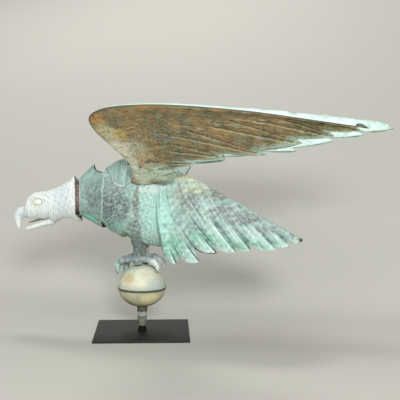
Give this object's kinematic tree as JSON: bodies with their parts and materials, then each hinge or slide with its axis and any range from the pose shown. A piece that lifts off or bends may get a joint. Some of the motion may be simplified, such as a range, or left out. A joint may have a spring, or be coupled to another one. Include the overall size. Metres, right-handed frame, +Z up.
{
  "type": "weather vane",
  "caption": "Moulded sheet-metal eagle weather vane with raised wings, gripping a ball, turning on the rod of a flat square display base.",
  "frame": {"origin": "middle of the base plate's underside, on the spindle's axis", "axes": "+Z up along the spindle; the eagle faces -X with its tail towards +X; its left side is -Y"},
  "size_m": [0.9452, 0.613, 0.5689],
  "materials": {
    "black_steel": "semi-gloss black painted steel",
    "bright_steel": "polished bearing steel",
    "white_zinc": "chalky white oxidised cast zinc",
    "verdigris": "mint and grey-green verdigris on moulded copper, with dark patches",
    "brown_copper": "weathered brown and orange copper with olive and grey-green staining",
    "orb_cream_patina": "cream and grey-green weathered copper with ochre patches",
    "orb_olive_patina": "olive-yellow weathered copper",
    "tube_patina": "dark olive-brown weathered copper tube",
    "dark_patina": "dark slate-green patina with white speckle",
    "bare_copper": "dull bare copper inside the body"
  },
  "bodies": {
    "stand": {"base_plate": "black_steel", "spindle_rod": "black_steel", "thrust_ball": "bright_steel"},
    "vane": {"mounting_tube": "tube_patina", "tube_cap": "bare_copper", "tube_ring": "tube_patina", "tube_band": "orb_cream_patina", "orb_neck": "tube_patina", "orb_upper": "orb_cream_patina", "orb_lower": "orb_olive_patina", "foot_plate": "dark_patina", "leg_left": "dark_patina", "leg_right": "dark_patina", "foot_left": "dark_patina", "foot_right": "dark_patina", "body_left": "verdigris", "body_right": "verdigris", "tail_left": "verdigris", "tail_right": "verdigris", "neck_collar": "verdigris", "neck_sleeve": "bare_copper", "head_casting": "white_zinc", "lower_beak": "white_zinc", "tongue": "white_zinc", "shoulder_cap_left": "verdigris", "shoulder_cap_right": "verdigris", "wing_upper_left": "verdigris", "wing_upper_right": "verdigris", "wing_lower_left": "brown_copper", "wing_lower_right": "brown_copper", "wing_spar_left": "bare_copper", "wing_spar_right": "bare_copper", "wing_socket_left": "bare_copper", "wing_socket_right": "bare_copper", "wing_pin_left": "bare_copper", "wing_pin_right": "bare_copper", "saddle_lower": "bare_copper", "saddle_upper": "bare_copper"}
  },
  "joints": [
    {"name": "vane_spin", "type": "hinge", "parent": "stand", "child": "vane", "pos_m": [0, 0, 0], "axis": [0, 0, 1], "continuous": true}
  ]
}
